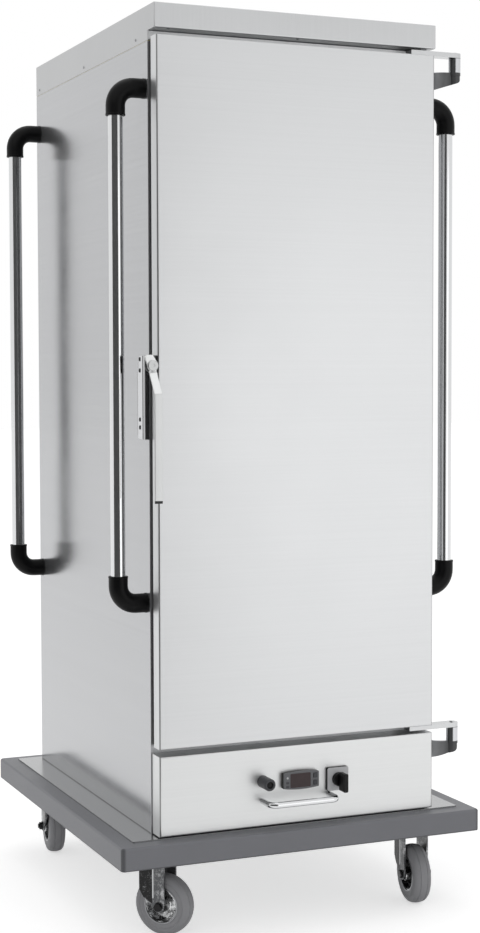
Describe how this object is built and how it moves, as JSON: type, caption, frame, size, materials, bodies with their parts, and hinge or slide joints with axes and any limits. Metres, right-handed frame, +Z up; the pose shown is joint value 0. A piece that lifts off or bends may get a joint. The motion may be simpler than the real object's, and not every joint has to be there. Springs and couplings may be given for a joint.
{
  "type": "enclosed meal tray cart",
  "caption": "Tall insulated stainless cabinet on a bumper platform with swivel casters, a hinged full-height door, inner tray ledges, tube push handles and a heated base drawer.",
  "frame": {"origin": "middle of the footprint's box on the floor, under the tyres", "axes": "+X to the cart's right seen from the door side, -Y towards the door side, +Z up"},
  "size_m": [0.772, 0.876, 1.788],
  "materials": {
    "bumper_grey": "smooth grey bumper profile",
    "brushed_sheet": "brushed stainless sheet",
    "bright_steel": "polished stainless",
    "zinc_steel": "zinc-plated steel",
    "rim_grey": "satin grey rim",
    "tyre_grey": "non-marking grey tyre",
    "black_plastic": "black moulded plastic",
    "control_grey": "grey controller moulding",
    "switch_face": "pale switch plate",
    "gasket_black": "black door gasket",
    "insulation": "mineral wool board",
    "heater_steel": "heat-tinted rod",
    "motor_grey": "dark motor housing"
  },
  "bodies": {
    "cart": {"bumper": "bumper_grey", "bumper_screws": "bright_steel", "chassis_frame": "zinc_steel", "deck_sheet": "brushed_sheet", "caster_plates": "zinc_steel", "caster_bolts": "zinc_steel", "outer_shell": "brushed_sheet", "front_frame": "brushed_sheet", "inner_liner": "brushed_sheet", "wall_insulation": "insulation", "cavity_grille": "brushed_sheet", "top_cap": "brushed_sheet", "cap_rivets": "bright_steel", "tray_rack_left": "brushed_sheet", "tray_rack_right": "brushed_sheet", "handle_tubes": "bright_steel", "handle_elbows": "black_plastic", "body_screws": "bright_steel", "hinge_brackets": "brushed_sheet", "hinge_pins": "bright_steel", "latch_bracket": "brushed_sheet", "latch_bolt": "bright_steel", "drawer_runners": "zinc_steel", "power_inlet": "black_plastic"},
    "door": {"door_outer_skin": "brushed_sheet", "door_inner_skin": "brushed_sheet", "door_insulation": "insulation", "door_gasket": "gasket_black", "hinge_arms": "brushed_sheet", "door_screws": "bright_steel"},
    "latch": {"latch_lever": "bright_steel"},
    "drawer": {"drawer_front": "brushed_sheet", "drawer_box": "brushed_sheet", "drawer_pull": "bright_steel", "heating_element": "heater_steel", "fan_motor": "motor_grey", "controller": "control_grey", "switch_plate": "switch_face", "button_collar": "black_plastic"},
    "fan": {"fan_impeller": "bright_steel"},
    "knob": {"switch_knob": "black_plastic"},
    "button": {"push_button": "black_plastic"},
    "key_up": {"key_up": "control_grey"},
    "key_down": {"key_down": "control_grey"},
    "swivel_front_left": {"caster_fork_front_left": "zinc_steel", "caster_axle_front_left": "zinc_steel"},
    "wheel_front_left": {"wheel_rim_front_left": "rim_grey", "tyre_front_left": "tyre_grey"},
    "swivel_front_right": {"caster_fork_front_right": "zinc_steel", "caster_axle_front_right": "zinc_steel"},
    "wheel_front_right": {"wheel_rim_front_right": "rim_grey", "tyre_front_right": "tyre_grey"},
    "swivel_rear_left": {"caster_fork_rear_left": "zinc_steel", "caster_axle_rear_left": "zinc_steel"},
    "wheel_rear_left": {"wheel_rim_rear_left": "rim_grey", "tyre_rear_left": "tyre_grey"},
    "swivel_rear_right": {"caster_fork_rear_right": "zinc_steel", "caster_axle_rear_right": "zinc_steel"},
    "wheel_rear_right": {"wheel_rim_rear_right": "rim_grey", "tyre_rear_right": "tyre_grey"}
  },
  "joints": [
    {"name": "door_hinge", "type": "hinge", "parent": "cart", "child": "door", "pos_m": [0.35, -0.3685, 1.053], "axis": [0, 0, 1], "range_deg": [0, 205]},
    {"name": "latch_turn", "type": "hinge", "parent": "cart", "child": "latch", "pos_m": [-0.3095, -0.3903, 1.11], "axis": [0, 1, 0], "range_deg": [0, 90]},
    {"name": "drawer_slide", "type": "slide", "parent": "cart", "child": "drawer", "axis": [0, -1, 0], "range_m": [0, 0.4]},
    {"name": "fan_spin", "type": "hinge", "parent": "drawer", "child": "fan", "pos_m": [0, -0.1953, 0.2755], "axis": [0, 0, 1], "continuous": true},
    {"name": "switch_turn", "type": "hinge", "parent": "drawer", "child": "knob", "pos_m": [0.076, -0.403, 0.2915], "axis": [0, -1, 0], "range_deg": [-90, 90]},
    {"name": "button_press", "type": "slide", "parent": "drawer", "child": "button", "axis": [0, 1, 0], "range_m": [0, 0.003], "stiffness_N_per_m": 800},
    {"name": "key_up_press", "type": "slide", "parent": "drawer", "child": "key_up", "axis": [0, 1, 0], "range_m": [0, 0.001], "stiffness_N_per_m": 600},
    {"name": "key_down_press", "type": "slide", "parent": "drawer", "child": "key_down", "axis": [0, 1, 0], "range_m": [0, 0.001], "stiffness_N_per_m": 600},
    {"name": "swivel_front_left", "type": "hinge", "parent": "cart", "child": "swivel_front_left", "pos_m": [-0.29, -0.2855, 0.149], "axis": [0, 0, 1], "continuous": true},
    {"name": "swivel_front_right", "type": "hinge", "parent": "cart", "child": "swivel_front_right", "pos_m": [0.29, -0.2855, 0.149], "axis": [0, 0, 1], "continuous": true},
    {"name": "swivel_rear_left", "type": "hinge", "parent": "cart", "child": "swivel_rear_left", "pos_m": [-0.29, 0.3045, 0.149], "axis": [0, 0, 1], "continuous": true},
    {"name": "swivel_rear_right", "type": "hinge", "parent": "cart", "child": "swivel_rear_right", "pos_m": [0.29, 0.3045, 0.149], "axis": [0, 0, 1], "continuous": true},
    {"name": "roll_front_left", "type": "hinge", "parent": "swivel_front_left", "child": "wheel_front_left", "pos_m": [-0.26245, -0.3172, 0.06], "axis": [0.7547, 0.6561, 0], "continuous": true},
    {"name": "roll_front_right", "type": "hinge", "parent": "swivel_front_right", "child": "wheel_front_right", "pos_m": [0.28488, -0.32719, 0.06], "axis": [0.9925, -0.1219, 0], "continuous": true},
    {"name": "roll_rear_left", "type": "hinge", "parent": "swivel_rear_left", "child": "wheel_rear_left", "pos_m": [-0.28488, 0.34619, 0.06], "axis": [-0.9925, 0.1219, 0], "continuous": true},
    {"name": "roll_rear_right", "type": "hinge", "parent": "swivel_rear_right", "child": "wheel_rear_right", "pos_m": [0.30573, 0.34344, 0.06], "axis": [-0.9272, 0.3746, 0], "continuous": true}
  ]
}
